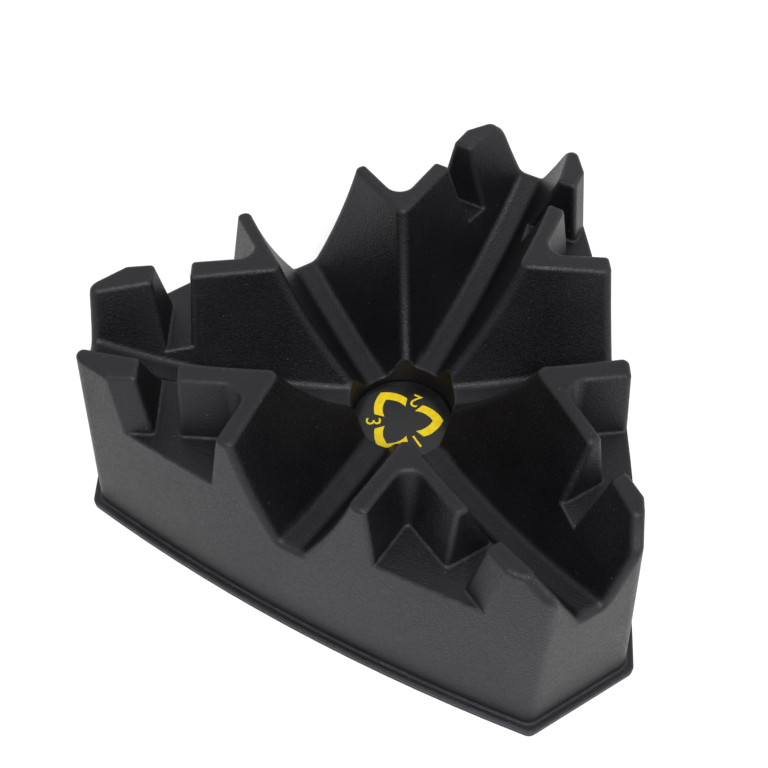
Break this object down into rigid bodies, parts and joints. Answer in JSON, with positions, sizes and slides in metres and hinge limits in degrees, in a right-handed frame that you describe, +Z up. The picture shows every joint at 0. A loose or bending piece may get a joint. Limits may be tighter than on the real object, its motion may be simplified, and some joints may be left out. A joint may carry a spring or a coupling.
{
  "type": "wheel riser block",
  "caption": "Hollow moulded riser block for the front end of a bike on an indoor trainer, with crossing cradle grooves of different depth.",
  "frame": {"origin": "on the hub axis where the three grooves cross, at the level of the floor that the feet stand on", "axes": "+Z up, +X along the long end of the shallowest groove, so the middle of one short face is on -X; +Y by the right hand"},
  "size_m": [0.3346, 0.3738, 0.142],
  "materials": {
    "shell_plastic": "black moulded plastic with fine grain, satin on worn edges",
    "base_plastic": "black moulded plastic, plain underneath",
    "disc_plastic": "smooth black disc with yellow print",
    "pad_foam": "pale adhesive foam",
    "foot_rubber": "dark grey rubber",
    "screw_steel": "zinc-plated steel"
  },
  "bodies": {
    "root": {"block_shell": "shell_plastic", "base_plate": "base_plastic", "hub_medallion": "disc_plastic", "medallion_pad": "pad_foam", "foot_1": "foot_rubber", "foot_2": "foot_rubber", "foot_3": "foot_rubber", "foot_4": "foot_rubber", "foot_5": "foot_rubber", "foot_6": "foot_rubber", "foot_screw_1": "screw_steel", "foot_screw_2": "screw_steel", "foot_screw_3": "screw_steel", "foot_screw_4": "screw_steel", "foot_screw_5": "screw_steel", "foot_screw_6": "screw_steel"}
  },
  "joints": []
}
